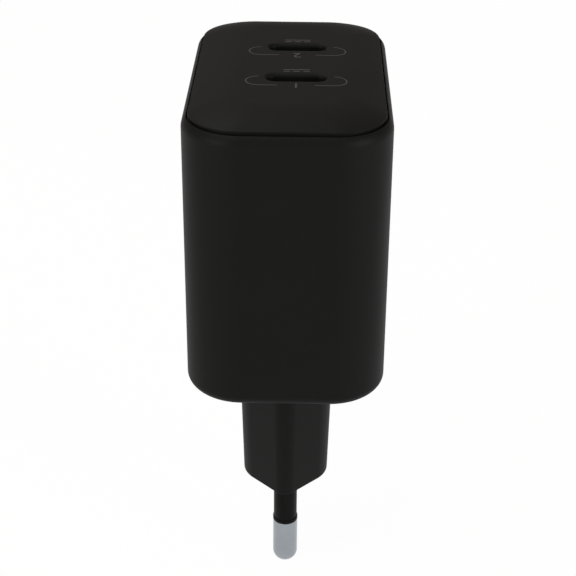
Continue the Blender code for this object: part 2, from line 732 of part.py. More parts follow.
spool_sections = [
    (rounded_rectangle(x, y, SMALLEST_R, SPOOL_STEPS), z) for x, y, z in spool_profile
]
lofted("transformer_bobbin", spool_sections, "chip_epoxy", ring=True, place=trafo_place)
wind_z = BOBBIN_FLANGE + SLIP
wind_top_z = window_h - wind_z
wind_in = rounded_rectangle(tube_x + SLIP, tube_y + SLIP, SMALLEST_R, WINDING_STEPS)
wind_out = rounded_rectangle(spool_x - SLIP, spool_y - SLIP, WINDING_R, WINDING_STEPS)
wind_sections = [
    (wind_in, wind_z),
    (wind_out, wind_z),
    (wind_out, wind_top_z),
    (wind_in, wind_top_z),
]
lofted("transformer_winding", wind_sections, "winding_tape", ring=True, place=trafo_place)

# Chips on the face of the upright board: two above the choke, three in a column at the transformer
chip_x = MAIN_FACE_X + SEAT


def chip(name, size, y, z):
    block(name, size, (chip_x + size[0] / 2, y, z), "chip_epoxy", size[0] / 6)


pair_w = (FILTER_L - PART_GAP) / 2
pair_off = (pair_w + PART_GAP) / 2
pair_z = PARTS_Z + FILTER_L + PART_GAP
chip("optocoupler", (OPTO_T, pair_w, OPTO_H), FILTER_Y - pair_off, pair_z)
chip("control_chip", (CONTROL_T, pair_w, CONTROL_H), FILTER_Y + pair_off, pair_z)
cell_h = (MAIN_H - 4 * PART_GAP) / 3
cell_z = [PARTS_Z + PART_GAP + k * (cell_h + PART_GAP) for k in range(3)]
chip("power_switch", (SWITCH_T, SWITCH_W, cell_h), TRAFO_Y, cell_z[0])
ycap_middle = Vector((chip_x, TRAFO_Y, cell_z[1] + cell_h / 2))
ycap_place = Matrix.Translation(ycap_middle) @ Matrix.Rotation(math.pi / 2, 4, "Y")
disc("y_capacitor", cell_h / 2, YCAP_T, ycap_place, "disc_coating")
chip("sync_rectifier", (RECTIFIER_T, RECTIFIER_W, cell_h), TRAFO_Y, cell_z[2])

# Output filter and port controllers, beside and between the sockets
cap_off = OUTPUT_CAP_R + PART_GAP
for number, side in ((1, -1), (2, 1)):
    cap_base = (PORT_SHIFT_X + side * cap_off, PORT_SHIFT_Y, OUTPUT_PARTS_Z)
    can(f"output_capacitor_{number}", OUTPUT_CAP_R, OUTPUT_CAP_H, cap_base, "can_aluminium")
    beside_y = port_y[number - 1] + side * (USB_D / 2 + PART_GAP + INDUCTOR_SIZE[1] / 2)
    inductor_x = PORT_SHIFT_X - PART_GAP - INDUCTOR_SIZE[0] / 2
    inductor_base = (inductor_x, beside_y, OUTPUT_PARTS_Z)
    block(f"buck_inductor_{number}", INDUCTOR_SIZE, inductor_base, "ferrite", INDUCTOR_EDGE)
    protocol_x = PORT_SHIFT_X + PART_GAP + PROTOCOL_SIZE[0] / 2
    protocol_base = (protocol_x, beside_y, OUTPUT_PARTS_Z)
    block(f"protocol_chip_{number}", PROTOCOL_SIZE, protocol_base, "chip_epoxy", PROTOCOL_EDGE)

# Heat spreader bent over the transformer, the pad between them, and the film behind the main board
spread_h = PARTS_H + PART_GAP + SPREADER_T
spread_l = 2 * TRAFO_Y + core_d
fold = [
    (SPREADER_T, 0.0),
    (SPREADER_T, spread_h),
    (SPREADER_T - SPREADER_TOP_W, spread_h),
    (SPREADER_T - SPREADER_TOP_W, spread_h - SPREADER_T),
    (0.0, spread_h - SPREADER_T),
    (0.0, 0.0),
]
spread_place = Matrix.Translation((SPREADER_X, spread_l / 2, PARTS_Z)) @ upright
slab("heat_spreader", fold, spread_l, "spreader_copper", spread_place)
pad_size = (PAD_T, core_d, PARTS_H - 2 * CORE_BACK)
pad_base = (SPREADER_X - SEAT - PAD_T / 2, TRAFO_Y, PARTS_Z + CORE_BACK)
block("thermal_pad", pad_size, pad_base, "thermal_pad")
sheet_size = (SHEET_T, MAIN_L, MAIN_H)
block("insulation_sheet", sheet_size, (SHEET_X + SHEET_T / 2, 0, PARTS_Z), "insulation_film")
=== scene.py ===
"""Looks of a two-port wall charger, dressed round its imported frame.

Metres, +Z up. The origin is the middle of the plug's engagement face, the pins point
down, the ports look up and the camera stands on the -Y side.
"""

import math

import bmesh
import bpy
from mathutils import Matrix, Vector


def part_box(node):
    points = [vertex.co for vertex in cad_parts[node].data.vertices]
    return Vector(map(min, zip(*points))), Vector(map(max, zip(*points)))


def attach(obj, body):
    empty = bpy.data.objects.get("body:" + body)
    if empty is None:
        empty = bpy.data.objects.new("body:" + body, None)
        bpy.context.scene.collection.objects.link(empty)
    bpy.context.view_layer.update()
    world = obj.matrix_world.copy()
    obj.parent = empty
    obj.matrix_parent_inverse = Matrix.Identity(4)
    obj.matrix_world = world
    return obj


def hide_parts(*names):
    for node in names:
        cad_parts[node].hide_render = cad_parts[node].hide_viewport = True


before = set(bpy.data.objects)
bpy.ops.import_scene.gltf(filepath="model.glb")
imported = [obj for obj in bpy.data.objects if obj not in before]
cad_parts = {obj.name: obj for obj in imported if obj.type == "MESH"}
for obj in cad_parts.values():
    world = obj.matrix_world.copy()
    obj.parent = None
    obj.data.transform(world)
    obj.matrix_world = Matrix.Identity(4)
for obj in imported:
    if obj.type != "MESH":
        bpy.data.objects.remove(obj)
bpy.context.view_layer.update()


# Tub: the deep lower case, injection moulded in black polycarbonate against a fine
# spark-eroded mould, which leaves a dull, closely pitted skin. Its rounded rim stands
# proud round the lid, and a hole in its floor takes the plug.
TUB_CORNER_R = 0.0083
TUB_RIM_R = 0.0020
TUB_RIM_ANGLE = math.radians(52.0)
TUB_RIM_EDGE_R = 0.00006
TUB_FOOT_R = 0.00175
TUB_WALL = 0.0018
TUB_LEDGE = 0.0006
TUB_FLOOR = 0.0020
TUB_SEAT_DEPTH = 0.0011
TUB_LEDGE_DEPTH = 0.0130
CORNER_STEPS = 28
FILLET_STEPS = 12
EDGE_STEPS = 5
SHARP_EDGE = math.radians(32)
WELD_DISTANCE = 1e-7
CASE_BLACK = (0.0042, 0.0042, 0.0041)
CASE_WORN_BLACK = (0.0056, 0.0056, 0.0055)
CASE_ROUGHNESS = 0.52
CASE_GLOSS = 0.072
CASE_PIT_SIZE = 0.00019
CASE_PIT_DEPTH = 0.000004
CASE_CLOUD_SIZE = 0.012


class Signal:
    """One output of a finish's nodes. Arithmetic on signals adds Math nodes."""

    def __init__(self, tree, socket=None):
        self.tree = tree
        self.socket = socket

    def node(self, kind, settings, sockets, output=0):
        """A new node: its settings first, then the value or the signal of each socket."""
        made = self.tree.nodes.new("ShaderNode" + kind)
        for key, value in settings.items():
            if key == "stops":
                for stop, (place, grey) in zip(made.color_ramp.elements, value):
                    stop.position = place
                    stop.color = (grey, grey, grey, 1)
            else:
                setattr(made, key, value)
        for key, value in sockets.items():
            if isinstance(value, Signal):
                self.tree.links.new(value.socket, made.inputs[key])
            else:
                made.inputs[key].default_value = value
        return Signal(self.tree, made.outputs[output])

    def maths(self, operation, first, second):
        return self.node("Math", {"operation": operation}, {0: first, 1: second})

    def __add__(self, other):
        return self.maths("ADD", self, other)

    def __sub__(self, other):
        return self.maths("SUBTRACT", self, other)

    def __rsub__(self, other):
        return self.maths("SUBTRACT", other, self)

    def __mul__(self, other):
        return self.maths("MULTIPLY", self, other)

    __radd__ = __add__
    __rmul__ = __mul__

    def stretched(self, scale):
        """This place, with each axis multiplied by its own number."""
        return self.node("VectorMath", {"operation": "MULTIPLY"}, {0: self, 1: scale})

    def noise(self, size, detail=2.0):
        """Cloudy noise over this place, whose clouds are about one size across."""
        return self.node("TexNoise", {}, {"Vector": self, "Scale": 1 / size, "Detail": detail})

    def cells(self, size, feature="F1"):
        """Distance from the middle of the cell that this place is in."""
        sockets = {"Vector": self, "Scale": 1 / size}
        return self.node("TexVoronoi", {"feature": feature}, sockets, "Distance")

    def step(self, low, high):
        """0 below low and 1 above high, with a straight slope between."""
        return self.node("ValToRGB", {"stops": ((low, 0), (high, 1))}, {0: self})

    def blend(self, first, second):
        """The first colour where this is 0, and the second where it is 1."""
        sockets = {0: self, 6: (*first, 1), 7: (*second, 1)}
        return self.node("Mix", {"data_type": "RGBA"}, sockets, 2)

    def bump(self, depth):
        """The surface normal over this height, which rises by depth from 0 to 1."""
        return self.node("Bump", {}, {"Height": self, "Distance": depth})


def finish(name, **even):
    """A new material with its even values set, and the place on the object as a signal."""
    material = bpy.data.materials.new(name)
    material.use_nodes = True
    tree = material.node_tree
    shader = tree.nodes["Principled BSDF"]
    for key, value in even.items():
        shader.inputs[key.replace("_", " ")].default_value = value
    return material, Signal(tree).node("TexCoord", {}, {}, "Object")


def feed(material, **varying):
    """Gives the material's shader what changes over the surface."""
    tree = material.node_tree
    shader = tree.nodes["Principled BSDF"]
    for key, signal in varying.items():
        tree.links.new(signal.socket, shader.inputs[key.replace("_", " ")])


def arc(steps, first=0.0, last=math.pi / 2):
    return [first + (last - first) * k / steps for k in range(steps + 1)]


def rounded_plan(half_x, half_y, radius, steps=CORNER_STEPS):
    """Points of a rectangle with round corners, anticlockwise."""
    points = []
    for quarter, (sx, sy) in enumerate(((1, 1), (-1, 1), (-1, -1), (1, -1))):
        start = quarter * math.pi / 2
        for angle in arc(steps, start, start + math.pi / 2):
            x = sx * (half_x - radius) + radius * math.cos(angle)
            y = sy * (half_y - radius) + radius * math.sin(angle)
            points.append((x, y))
    return points


def swept(name, sections, closed=False, at=(0, 0, 0)):
    """A mesh through like outlines, each with its height: capped, or closed to a ring."""
    bm = bmesh.new()
    loops = [[bm.verts.new((x, y, z)) for x, y in plan] for plan, z in sections]
    following = loops[1:] + loops[:1] if closed else loops[1:]
    for lower, upper in zip(loops, following):
        for i in range(len(lower)):
            bm.faces.new((lower[i - 1], lower[i], upper[i], upper[i - 1]))
    if not closed:
        bm.faces.new(loops[0])
        bm.faces.new(loops[-1])
    return piece_from(name, bm, Matrix.Translation(at))


def piece_from(name, bm, place=None):
    """An object in the scene from a finished bmesh."""
    if place is not None:
        bm.transform(place)
    bmesh.ops.remove_doubles(bm, verts=bm.verts, dist=WELD_DISTANCE)
    bmesh.ops.recalc_face_normals(bm, faces=bm.faces)
    mesh = bpy.data.meshes.new(name)
    bm.to_mesh(mesh)
    bm.free()
    piece = bpy.data.objects.new(name, mesh)
    bpy.context.scene.collection.objects.link(piece)
    return piece


def settle(piece):
    """Replaces the piece's mesh by what its modifiers make of it."""
    graph = bpy.context.evaluated_depsgraph_get()
    mesh = bpy.data.meshes.new_from_object(piece.evaluated_get(graph))
    piece.modifiers.clear()
    piece.data = mesh


def cut(piece, cutter, operation="DIFFERENCE"):
    """Cuts the cutter out of the piece, or joins the two, and clears the cutter away."""
    boolean = piece.modifiers.new("cut", "BOOLEAN")
    boolean.operation = operation
    boolean.object = cutter
    boolean.solver = "EXACT"
    settle(piece)
    bpy.data.objects.remove(cutter)


def dress(piece, material, slot, *nodes):
    """Shades the piece, gives it its material and fixes it to the charger."""
    mesh = piece.data
    mesh.shade_smooth()
    mesh.set_sharp_from_angle(angle=SHARP_EDGE)
    flat_faces = piece.modifiers.new("even flats", "WEIGHTED_NORMAL")
    flat_faces.keep_sharp = True
    mesh.materials.clear()
    mesh.materials.append(material)
    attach(piece, "root")
    if nodes:
        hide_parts(*nodes)


case_plastic, place = finish("case_plastic", Specular_IOR_Level=CASE_GLOSS)
pits = place.cells(CASE_PIT_SIZE)
grain = place.noise(CASE_PIT_SIZE, 3.0)
cloud = place.noise(CASE_CLOUD_SIZE, 4.0)
feed(
    case_plastic,
    Base_Color=(0.7 * cloud + 0.3 * grain).blend(CASE_BLACK, CASE_WORN_BLACK),
    Roughness=CASE_ROUGHNESS + 0.10 * (cloud - 0.5) + 0.08 * (grain - 0.5),
    Normal=(0.6 * pits + 0.4 * grain).bump(CASE_PIT_DEPTH),
)

tub_low, tub_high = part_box("body_shell")
tub_half_x = tub_high.x
tub_half_y = tub_high.y
tub_foot_z = tub_low.z
tub_rim_z = tub_high.z


def tub_plan(inset):
    """The tub's plan, drawn in by an inset."""
    return rounded_plan(tub_half_x - inset, tub_half_y - inset, TUB_CORNER_R - inset)


# The hole in the tub's floor follows the plug's plan, so the plan is drawn here.
PLUG_DRAFT = 0.00055
PLUG_HOLE_GAP = 0.00015
PLUG_HALF_W = 0.00663
PLUG_HALF_L = 0.01738
PLUG_SLANT = math.radians(45.0)
PLUG_SHOULDER_R = 0.0052
PLUG_NOSE_R = 0.00192
PLUG_NOSE_FLAT = 0.00002
PLUG_STEPS = 14


def plug_plan(grow):
    """The plug's six-sided plan with its round noses, offset outwards by grow."""
    half_w = PLUG_HALF_W + grow
    half_l = PLUG_HALF_L + grow
    nose_r = PLUG_NOSE_R + grow
    nose = PLUG_NOSE_FLAT + nose_r * math.tan((math.pi / 2 - PLUG_SLANT) / 2)
    shoulder = half_l - (half_w - nose) / math.tan(PLUG_SLANT)
    corners = []
    for sx, sy in ((1, 1), (-1, 1), (-1, -1), (1, -1)):
        pair = [((half_w, shoulder), PLUG_SHOULDER_R + grow), ((nose, half_l), nose_r)]
        if sx != sy:
            pair.reverse()
        corners += [(Vector((sx * x, sy * y)), r) for (x, y), r in pair]
    points = []
    for i, (corner, radius) in enumerate(corners):
        back = (corners[i - 1][0] - corner).normalized()
        on = (corners[(i + 1) % len(corners)][0] - corner).normalized()
        half = back.angle(on) / 2
        centre = corner + (back + on).normalized() * radius / math.sin(half)
        first = corner + back * radius / math.tan(half) - centre
        last = corner + on * radius / math.tan(half) - centre
        sweep = first.angle_signed(last)
        for turn in arc(PLUG_STEPS, 0.0, -sweep):
            points.append(tuple(centre + Matrix.Rotation(turn, 2) @ first))
    return points


tub_profile = [
    (TUB_FOOT_R * (1 - math.sin(a)), tub_foot_z + TUB_FOOT_R * (1 - math.cos(a)))
    for a in arc(FILLET_STEPS)
]
rim_in = TUB_RIM_R * (1 - math.cos(TUB_RIM_ANGLE))
rim_base_z = tub_rim_z - TUB_RIM_R * math.sin(TUB_RIM_ANGLE)
rim_edge_run = TUB_RIM_R - rim_in + TUB_RIM_EDGE_R
rim_edge_rise = math.sqrt((TUB_RIM_R - TUB_RIM_EDGE_R) ** 2 - rim_edge_run**2)
rim_turn = math.atan2(rim_edge_rise, rim_edge_run)
tub_profile += [
    (TUB_RIM_R * (1 - math.cos(a)), rim_base_z + TUB_RIM_R * math.sin(a))
    for a in arc(FILLET_STEPS, 0.0, rim_turn)
]
tub_profile += [
    (
        rim_in - TUB_RIM_EDGE_R * (1 + math.cos(a)),
        rim_base_z + rim_edge_rise + TUB_RIM_EDGE_R * math.sin(a),
    )
    for a in arc(EDGE_STEPS, rim_turn, math.pi)[1:]
]
tub_profile += [
    (rim_in, tub_rim_z - TUB_SEAT_DEPTH),
    (TUB_WALL, tub_rim_z - TUB_SEAT_DEPTH),
    (TUB_WALL, tub_rim_z - TUB_LEDGE_DEPTH),
    (TUB_WALL + TUB_LEDGE, tub_rim_z - TUB_LEDGE_DEPTH),
    (TUB_WALL + TUB_LEDGE, tub_foot_z + TUB_FLOOR),
]
tub = swept("tub", [(tub_plan(inset), z) for inset, z in tub_profile])
hole_plan = plug_plan(PLUG_DRAFT + PLUG_HOLE_GAP)
hole_ends = (tub_foot_z - TUB_FLOOR, tub_foot_z + 2 * TUB_FLOOR)
cut(tub, swept("plug_hole", [(hole_plan, z) for z in hole_ends]))
dress(tub, case_plastic, "case_plastic", "body_shell")


# Lid: a shallow dome of the same black plastic, clipped into the rim by its skirt. Its
# thin edge overhangs a narrow shadow groove all round, and two slots with softly rounded
# lips let the sockets under it show.
LID_GROOVE_W = 0.00021
LID_GROOVE_D = 0.00022
LID_THICK = 0.0022
LID_DOME_R = 0.0170
LID_DOME_ANGLE = math.radians(23.8)
LID_EDGE_R = 0.00008
LID_LIP_T = 0.00008
LID_LIP_REACH = 0.0002
LID_SOFTENING = 0.55
LID_SKIRT_GAP = 0.00015
LID_SKIRT_T = 0.0012
LID_SEAT_GAP = 0.0002
LID_DOME_STEPS = 24
LID_INK_RECESS = 0.00002
PORT_W = 0.0084
PORT_H = 0.0026
PORT_LIP_R = 0.0006
PORT_X = 0.00105
PORT_YS = (-0.0061, 0.0070)
PORT_STEPS = 14

lid_low, lid_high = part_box("top_cover")
lid_top_z = lid_high.z - LID_INK_RECESS
lid_under_z = lid_high.z - LID_THICK
lid_edge_in = rim_in + LID_GROOVE_W
lid_seat_z = tub_rim_z - TUB_SEAT_DEPTH + LID_SEAT_GAP
lid_groove_z = tub_rim_z - LID_GROOVE_D
lid_skirt_out = TUB_WALL + LID_SKIRT_GAP
lid_skirt_in = lid_skirt_out + LID_SKIRT_T
lid_profile = [
    (lid_skirt_in, lid_under_z),
    (lid_skirt_in, lid_low.z),
    (lid_skirt_out, lid_low.z),
    (lid_skirt_out, lid_seat_z),
    (rim_in + LID_SKIRT_GAP, lid_seat_z),
    (rim_in + LID_SKIRT_GAP, lid_groove_z),
    (lid_edge_in + LID_LIP_REACH, lid_groove_z),
]
dome_reach = LID_DOME_R * math.sin(LID_DOME_ANGLE)
dome_base_z = lid_top_z - LID_DOME_R
dome_turn = math.asin((dome_reach - LID_EDGE_R) / (LID_DOME_R - LID_EDGE_R))
edge_base_z = dome_base_z + (LID_DOME_R - LID_EDGE_R) * math.cos(dome_turn)
lid_profile += [
    (lid_edge_in + LID_LIP_REACH, edge_base_z - LID_LIP_T),
    (lid_edge_in, edge_base_z - LID_LIP_T),
]
lid_profile += [
    (lid_edge_in + LID_EDGE_R * (1 - math.cos(a)), edge_base_z + LID_EDGE_R * math.sin(a))
    for a in arc(EDGE_STEPS, 0.0, math.pi / 2 - dome_turn)
]
lid_profile += [
    (lid_edge_in + dome_reach - LID_DOME_R * math.sin(a), dome_base_z + LID_DOME_R * math.cos(a))
    for a in arc(LID_DOME_STEPS, dome_turn, 0.0)[1:]
]


def lid_drop(x):
    """How far the dome has fallen below the lid's flat at this distance across it."""
    beyond = max(abs(x) - (tub_half_x - lid_edge_in - dome_reach), 0.0)
    return LID_DOME_R - math.sqrt(LID_DOME_R**2 - beyond**2)


def pill_plan(width, height):
    """A slot's outline with full round ends."""
    return rounded_plan(width / 2, height / 2, height / 2, PORT_STEPS)


def lid_plan(inset):
    """The lid's plan, drawn in by an inset, with softer corners up on the dome."""
    radius = TUB_CORNER_R - inset + LID_SOFTENING * max(inset - lid_edge_in, 0.0)
    return rounded_plan(tub_half_x - inset, tub_half_y - inset, radius)


lid_skirt = [(tub_plan(inset), z) for inset, z in lid_profile[:-LID_DOME_STEPS]]
lid_dome = [(lid_plan(inset), z) for inset, z in lid_profile[-LID_DOME_STEPS:]]
lid = swept("lid", lid_skirt + lid_dome)
slot_profile = [(0.0, lid_under_z - LID_THICK)]
slot_profile += [
    (PORT_LIP_R * (1 - math.cos(a)), lid_top_z - PORT_LIP_R * (1 - math.sin(a)))
    for a in arc(FILLET_STEPS)
]
slot_profile.append((PORT_LIP_R, lid_top_z + LID_THICK))
for y in PORT_YS:
    sections = [(pill_plan(PORT_W + 2 * g, PORT_H + 2 * g), z) for g, z in slot_profile]
    cut(lid, swept("port_slot", sections, at=(PORT_X, y, 0)))
dress(lid, case_plastic, "case_plastic", "top_cover")


# Port marks: thin grey ink, pad printed on the flat of the lid. An open outline lies
# round each slot, with the port's number in its gap and the sign for direct current
# behind the slot, all facing away from the camera.
INK_GREY = (0.054, 0.0535, 0.0515)
INK_THIN_GREY = (0.038, 0.0375, 0.036)
INK_LINE_W = 0.00017
INK_SIGN_LINE_W = 1.5 * INK_LINE_W
INK_OUTLINE_W = 0.0143
INK_OUTLINE_H = 0.00354
INK_OUTLINE_YS = (-0.0076, 0.0051)
INK_GAP_HALF = 0.0027
INK_FAR_HALF = 0.0054
INK_NUMBER_H = 0.0019
INK_FIGURE_SHARE = 0.7
INK_SIGN_W = 0.0038
INK_DASH_L = INK_SIGN_W / 4
INK_DASH_PITCH = 1.5 * INK_DASH_L
INK_SIGN_BACK = 0.0031
INK_SIGN_PITCH = 0.0007
INK_ARC_STEPS = 20
INK_PATCH_SIZE = 0.0004

ink, place = finish("print_ink", Specular_IOR_Level=0.2)
patchy = place.noise(INK_PATCH_SIZE, 3.0)
feed(
    ink,
    Base_Color=patchy.blend(INK_THIN_GREY, INK_GREY),
    Roughness=0.5 + 0.15 * patchy,
    Normal=place.noise(CASE_PIT_SIZE).bump(CASE_PIT_DEPTH),
)


def ink_strip(bm, path, width):
    """Adds a flat strip of ink along a path on the lid, as thick as the film of ink."""
    rows = []
    for i, here in enumerate(path):
        before = path[max(i - 1, 0)]
        after = path[min(i + 1, len(path) - 1)]
        along = Vector((after[0] - before[0], after[1] - before[1])).normalized()
        side = Vector((-along.y, along.x)) * width / 2
        edges = (Vector(here) + side, Vector(here) - side)
        low = [bm.verts.new((p.x, p.y, lid_top_z - lid_drop(p.x))) for p in edges]
        high = [bm.verts.new((p.x, p.y, lid_high.z - lid_drop(p.x))) for p in edges]
        rows.append((low[0], low[1], high[1], high[0]))
    for first, second in zip(rows, rows[1:]):
        for k in range(4):
            bm.faces.new((first[k - 1], first[k], second[k], second[k - 1]))
    bm.faces.new(rows[0])
    bm.faces.new(rows[-1])


for number, (port_y, outline_y) in enumerate(zip(PORT_YS, INK_OUTLINE_YS), 1):
    radius = INK_OUTLINE_H / 2
    reach = INK_OUTLINE_W / 2 - radius
    bm = bmesh.new()
    for side in (-1, 1):
        path = [(PORT_X + side * INK_GAP_HALF, outline_y - radius)]
        for a in arc(INK_ARC_STEPS, -math.pi / 2, math.pi / 2):
            x = PORT_X + side * (reach + radius * math.cos(a))
            path.append((x, outline_y + radius * math.sin(a)))
        path.append((PORT_X + side * INK_FAR_HALF, outline_y + radius))
        ink_strip(bm, path, INK_LINE_W)
    bar_y = port_y + INK_SIGN_BACK
    bar = [(PORT_X + x * INK_SIGN_W / 2, bar_y) for x in (-1, 1)]
    ink_strip(bm, bar, INK_SIGN_LINE_W)
    for k in (-1, 0, 1):
        middle = PORT_X + k * INK_DASH_PITCH
        ends = [(middle + x * INK_DASH_L / 2, bar_y - INK_SIGN_PITCH) for x in (-1, 1)]
        ink_strip(bm, ends, INK_SIGN_LINE_W)
    dress(piece_from(f"port_outline_{number}", bm), ink, "case_plastic")
    letters = bpy.data.curves.new("number", "FONT")
    letters.body = str(number)
    letters.size = INK_NUMBER_H / INK_FIGURE_SHARE
    letters.align_x = "CENTER"
    letters.align_y = "CENTER"
    letters.extrude = LID_INK_RECESS / 2
    figure = bpy.data.objects.new(f"port_number_{number}", letters)
    bpy.context.scene.collection.objects.link(figure)
    ink_z = lid_top_z + LID_INK_RECESS / 2
    number_place = Matrix.Translation((PORT_X, outline_y - radius, ink_z))
    figure.matrix_world = number_place @ Matrix.Rotation(math.pi, 4, "Z")
    graph = bpy.context.evaluated_depsgraph_get()
    mesh = bpy.data.meshes.new_from_object(figure.evaluated_get(graph))
    mesh.transform(figure.matrix_world)
    bpy.data.objects.remove(figure)
    figure = bpy.data.objects.new(f"port_number_{number}", mesh)
    bpy.context.scene.collection.objects.link(figure)
    dress(figure, ink, "case_plastic")


# Plug: the six-sided body that goes into the wall socket, moulded in the same black
# plastic with a slight draft. An inner flange holds it on the tub's floor, and its
# thick sole takes the two pins.
PLUG_EDGE_R = 0.0002
PLUG_WALL = 0.0019
PLUG_SOLE = 0.0070
PLUG_FLANGE = 0.0014
PLUG_FLANGE_T = 0.0016
PLUG_FLANGE_GAP = 0.0002
PLUG_EDGE_STEPS = 5
PIN_PITCH = 0.0186
PIN_TIP_PITCH = 0.0175
PIN_LENGTH = 0.0191
PIN_BORE_GAP = 0.00015
SLEEVE_R = 0.00188
SLEEVE_ROOT = 0.0030
TURN_STEPS = 64


def turned(name, profile, axis_place, closed=False):
    """A profile of radius and height, turned about its axis and put in place."""
    bm = bmesh.new()
    plan = []
    for angle in arc(TURN_STEPS, 0.0, 2 * math.pi)[:-1]:
        plan.append((math.cos(angle), math.sin(angle)))
    loops = []
    for radius, z in profile:
        if radius:
            loops.append([bm.verts.new((radius * x, radius * y, z)) for x, y in plan])
        else:
            loops.append([bm.verts.new((0, 0, z))] * TURN_STEPS)
    following = loops[1:] + loops[:1] if closed else loops[1:]
    for first, second in zip(loops, following):
        for i in range(TURN_STEPS):
            ring = [first[i - 1], first[i], second[i], second[i - 1]]
            corners = [v for k, v in enumerate(ring) if v not in ring[:k]]
            if len(corners) > 2:
                bm.faces.new(corners)
    return piece_from(name, bm, axis_place)


pin_lean = math.atan2((PIN_PITCH - PIN_TIP_PITCH) / 2, PIN_LENGTH)
pin_places = []
for end in (-1, 1):
    lean = Matrix.Rotation(-end * pin_lean, 4, "X")
    pin_places.append(Matrix.Translation((0, end * PIN_PITCH / 2, 0)) @ lean)

flange_z = tub_foot_z + TUB_FLOOR + PLUG_FLANGE_GAP
plug_profile = [
    (-PLUG_EDGE_R * (1 - math.sin(a)), PLUG_EDGE_R * (1 - math.cos(a)))
    for a in arc(PLUG_EDGE_STEPS)
]
plug_profile += [
    (PLUG_DRAFT, tub_foot_z),
    (PLUG_DRAFT, flange_z),
    (PLUG_DRAFT + PLUG_FLANGE, flange_z),
    (PLUG_DRAFT + PLUG_FLANGE, flange_z + PLUG_FLANGE_T),
    (PLUG_DRAFT - PLUG_WALL, flange_z + PLUG_FLANGE_T),
    (PLUG_DRAFT * PLUG_SOLE / tub_foot_z - PLUG_WALL, PLUG_SOLE),
]
plug = swept("plug", [(plug_plan(grow), z) for grow, z in plug_profile])
bore_profile = [
    (0.0, SLEEVE_ROOT + PIN_BORE_GAP),
    (SLEEVE_R + PIN_BORE_GAP, SLEEVE_ROOT + PIN_BORE_GAP),
    (SLEEVE_R + PIN_BORE_GAP, -SLEEVE_ROOT),
    (0.0, -SLEEVE_ROOT),
]
for pin_place in pin_places:
    cut(plug, turned("pin_bore", bore_profile, pin_place))
dress(plug, case_plastic, "case_plastic", "plug_base")


# Pins: turned brass rods, plated with bright nickel, whose ends are rounded. The upper
# part is turned down to carry the sleeve, and the foot is riveted inside the plug.
PIN_R = 0.0020
PIN_END_R = 0.00194
PIN_CORE_R = 0.0014
PIN_RIVET_R = 0.0022
PIN_RIVET_Z = 0.0079
PIN_RIVET_H = 0.0010
PIN_SHOULDER_EDGE = 0.00004
SLEEVE_LENGTH = 0.01062
PIN_END_STEPS = 20
NICKEL = (0.34, 0.365, 0.395)
NICKEL_DULL = (0.28, 0.30, 0.325)
PIN_LINE_SIZE = 0.00006
PIN_LINE_DEPTH = 0.0000015
PIN_STAIN_SIZE = 0.003

nickel, place = finish("pin_nickel", Metallic=1.0)
turning = place.stretched((0.05, 0.05, 1.0)).noise(PIN_LINE_SIZE, 2.0)
stain = place.noise(PIN_STAIN_SIZE, 3.0)
feed(
    nickel,
    Base_Color=stain.blend(NICKEL, NICKEL_DULL),
    Roughness=0.10 + 0.06 * stain + 0.06 * turning,
    Normal=turning.bump(PIN_LINE_DEPTH),
)
pin_profile = [
    (0.0, PIN_RIVET_Z + PIN_RIVET_H),
    (PIN_RIVET_R, PIN_RIVET_Z + PIN_RIVET_H),
    (PIN_RIVET_R, PIN_RIVET_Z),
    (PIN_CORE_R, PIN_RIVET_Z),
    (PIN_CORE_R, -SLEEVE_LENGTH),
    (PIN_R - PIN_SHOULDER_EDGE, -SLEEVE_LENGTH),
    (PIN_R, -SLEEVE_LENGTH - PIN_SHOULDER_EDGE),
]
for a in arc(PIN_END_STEPS):
    radius = PIN_R - PIN_END_R * (1 - math.cos(a))
    pin_profile.append((radius, -PIN_LENGTH + PIN_END_R * (1 - math.sin(a))))
pin_profile.append((0.0, -PIN_LENGTH))
for word, pin_place in zip(("front", "rear"), pin_places):
    pin = turned(f"plated_pin_{word}", pin_profile, pin_place)
    dress(pin, nickel, "pin_plating", f"pin_{word}")


# Sleeves: black nylon tubes moulded on the pins, so that a finger can't touch bare
# metal while the plug is half out. Each ends in a low collar as wide as the pin.
SLEEVE_COLLAR_H = 0.00056
SLEEVE_GAP = 0.00002
SLEEVE_EDGE = 0.0001
SLEEVE_BLACK = (0.0040, 0.0040, 0.0040)
SLEEVE_SCUFF = (0.0062, 0.0062, 0.0061)
SLEEVE_SCUFF_SIZE = 0.0012

sleeve_nylon, place = finish("sleeve_nylon", Specular_IOR_Level=0.05)
scuff = place.stretched((1.0, 1.0, 0.15)).noise(SLEEVE_SCUFF_SIZE, 4.0)
feed(
    sleeve_nylon,
    Base_Color=scuff.step(0.45, 0.75).blend(SLEEVE_BLACK, SLEEVE_SCUFF),
    Roughness=0.34 + 0.14 * scuff,
    Normal=place.noise(CASE_PIT_SIZE).bump(CASE_PIT_DEPTH / 2),
)
collar_z = SLEEVE_GAP - SLEEVE_LENGTH
sleeve_profile = [
    (SLEEVE_R, SLEEVE_ROOT),
    (SLEEVE_R, collar_z + SLEEVE_COLLAR_H),
    (PIN_R - SLEEVE_EDGE, collar_z + SLEEVE_COLLAR_H),
    (PIN_R, collar_z + SLEEVE_COLLAR_H - SLEEVE_EDGE),
    (PIN_R, collar_z + SLEEVE_EDGE),
    (PIN_R - SLEEVE_EDGE, collar_z),
    (PIN_CORE_R + PIN_BORE_GAP, collar_z),
    (PIN_CORE_R + PIN_BORE_GAP, SLEEVE_ROOT),
]
for word, pin_place in zip(("front", "rear"), pin_places):
    sleeve = turned(f"sleeve_{word}", sleeve_profile, pin_place, closed=True)
    dress(sleeve, sleeve_nylon, "sleeve_plastic", f"pin_sleeve_{word}")


